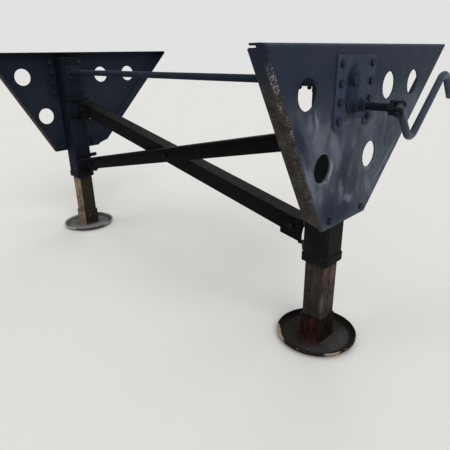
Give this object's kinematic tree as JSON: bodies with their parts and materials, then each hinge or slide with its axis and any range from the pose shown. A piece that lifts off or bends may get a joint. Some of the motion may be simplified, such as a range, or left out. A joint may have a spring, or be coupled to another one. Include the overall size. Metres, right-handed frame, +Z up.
{
  "type": "trailer landing gear",
  "caption": "Landing gear of a semi trailer: telescopic legs with round feet on flanged wing plates, cross braces, cross shaft, gearbox and folding crank.",
  "frame": {"origin": "centre of the four front frame bolts, on the upper face of the wing plates' top flanges, above the midpoint between the legs", "axes": "+X to the crank side, +Y to the rear of the trailer, +Z up; the ground is 1.175 m below the origin"},
  "size_m": [2.3965, 1.307, 1.175],
  "materials": {
    "plate_paint": "semi-gloss dark grey to black paint, scuffed, with streaks of dust and rust along the folds",
    "frame_paint": "black paint, dusty",
    "gearbox_paint": "dark grey paint over stamped steel, grimy",
    "crank_paint": "dark blue-grey paint, worn, rust at the joint",
    "bolt_steel": "painted over with the plates, dirty",
    "worn_steel": "bare steel with old grease, brown and pinkish rust",
    "rusty_foot": "dark brown rusted steel, worn tan on the rim",
    "plain_foot": "weathered grey steel"
  },
  "bodies": {
    "stand": {"brace_bolts": "bolt_steel", "cross_shaft": "frame_paint", "front_brace": "frame_paint", "gearbox_cover": "gearbox_paint", "gearbox_plate": "gearbox_paint", "left_coupling_bolts": "bolt_steel", "left_foot_dish": "rusty_foot", "left_foot_pin": "rusty_foot", "left_foot_socket": "rusty_foot", "left_inner_tube": "worn_steel", "left_leg_cap": "frame_paint", "left_lower_bracket": "frame_paint", "left_mounting_bolts": "bolt_steel", "left_mounting_flange": "frame_paint", "left_outer_tube": "frame_paint", "left_output_stub": "frame_paint", "left_shaft_bearing": "frame_paint", "left_shaft_coupling": "frame_paint", "left_tube_collar": "frame_paint", "left_upper_bracket": "frame_paint", "left_wing_plate": "plate_paint", "rear_brace": "frame_paint", "right_coupling_bolts": "bolt_steel", "right_foot_dish": "plain_foot", "right_foot_pin": "plain_foot", "right_foot_socket": "plain_foot", "right_inner_tube": "worn_steel", "right_leg_cap": "frame_paint", "right_lower_bracket": "frame_paint", "right_mounting_bolts": "bolt_steel", "right_mounting_flange": "frame_paint", "right_outer_tube": "frame_paint", "right_output_stub": "frame_paint", "right_shaft_bearing": "frame_paint", "right_shaft_coupling": "frame_paint", "right_tube_collar": "frame_paint", "right_upper_bracket": "frame_paint", "right_wing_plate": "plate_paint"},
    "crank": {"crank_shaft": "crank_paint", "crank_pin": "bolt_steel"},
    "handle": {"crank_handle": "crank_paint"}
  },
  "joints": [
    {"name": "crank_turn", "type": "hinge", "parent": "stand", "child": "crank", "pos_m": [1.15, 0, -0.195], "axis": [1, 0, 0], "continuous": true},
    {"name": "crank_fold", "type": "hinge", "parent": "crank", "child": "handle", "pos_m": [1.224, 0, -0.195], "axis": [0, -0.7314, -0.682], "range_deg": [0, 90]}
  ]
}
